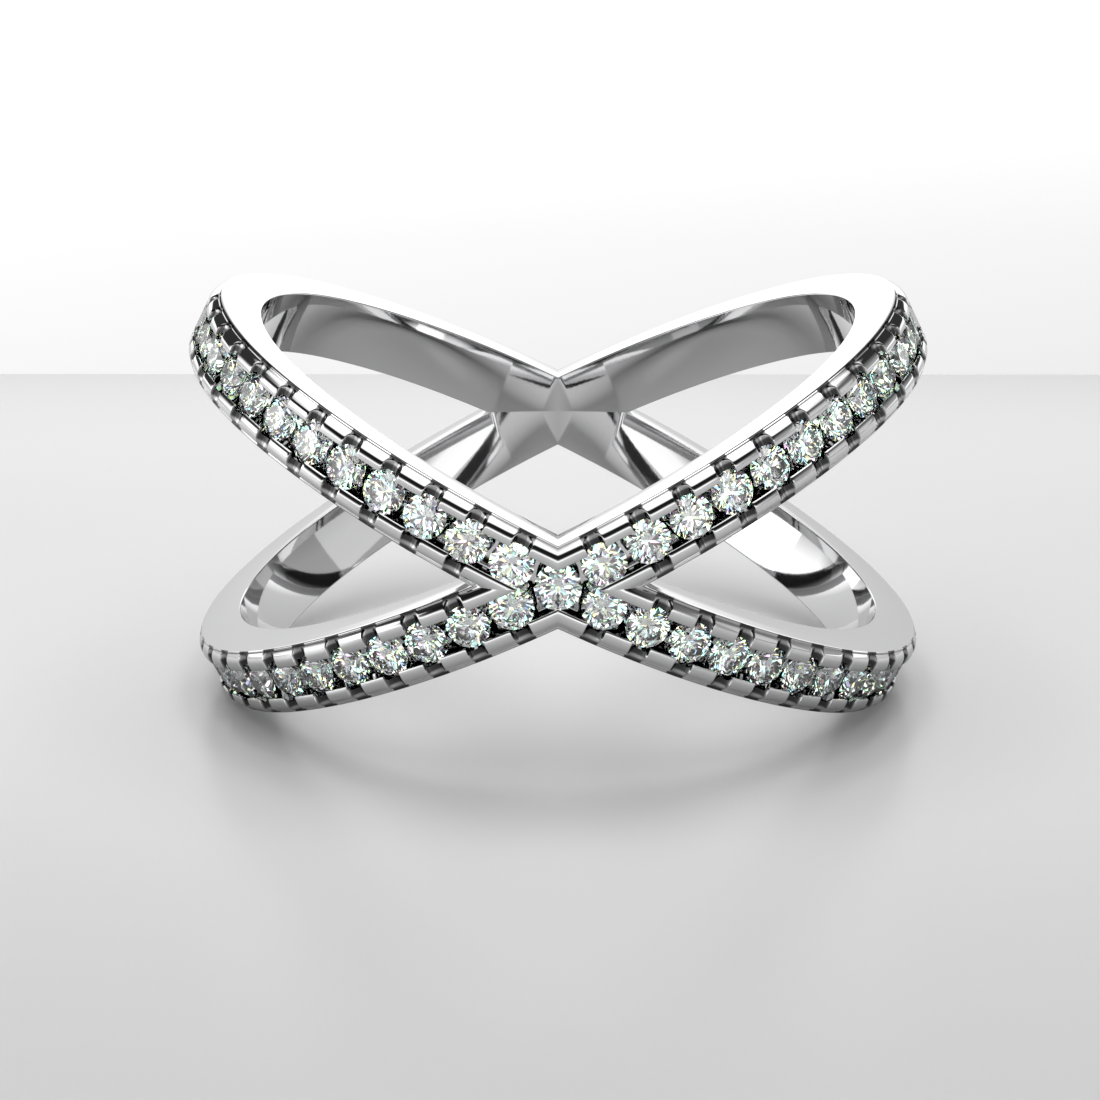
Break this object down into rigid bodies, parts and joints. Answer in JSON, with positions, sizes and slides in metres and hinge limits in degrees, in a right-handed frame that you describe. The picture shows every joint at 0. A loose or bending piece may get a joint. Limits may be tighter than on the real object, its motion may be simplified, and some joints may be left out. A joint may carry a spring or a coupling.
{
  "type": "crossover ring",
  "caption": "Finger ring of two narrow tilted loops that cross in an X at the front and the back, with a row of small round cut stones along the front half of each loop.",
  "frame": {"origin": "centre of the finger hole, midway between the two side extremes of each loop, on the axis of the finger", "axes": "+Z is the axis of the finger, and points up as the ring lies on its side; -Y is the front, where the stones and the centre stone of the crossing are; +X is to the right seen from the front"},
  "size_m": [0.0204, 0.0199, 0.0114],
  "materials": {
    "white_gold": "polished white gold, rhodium bright",
    "diamond": "clear, faceted and polished"
  },
  "bodies": {
    "root": {"shank": "white_gold", "centre_stone": "diamond", "upper_right_stones": "diamond", "upper_left_stones": "diamond", "lower_right_stones": "diamond", "lower_left_stones": "diamond"}
  },
  "joints": []
}
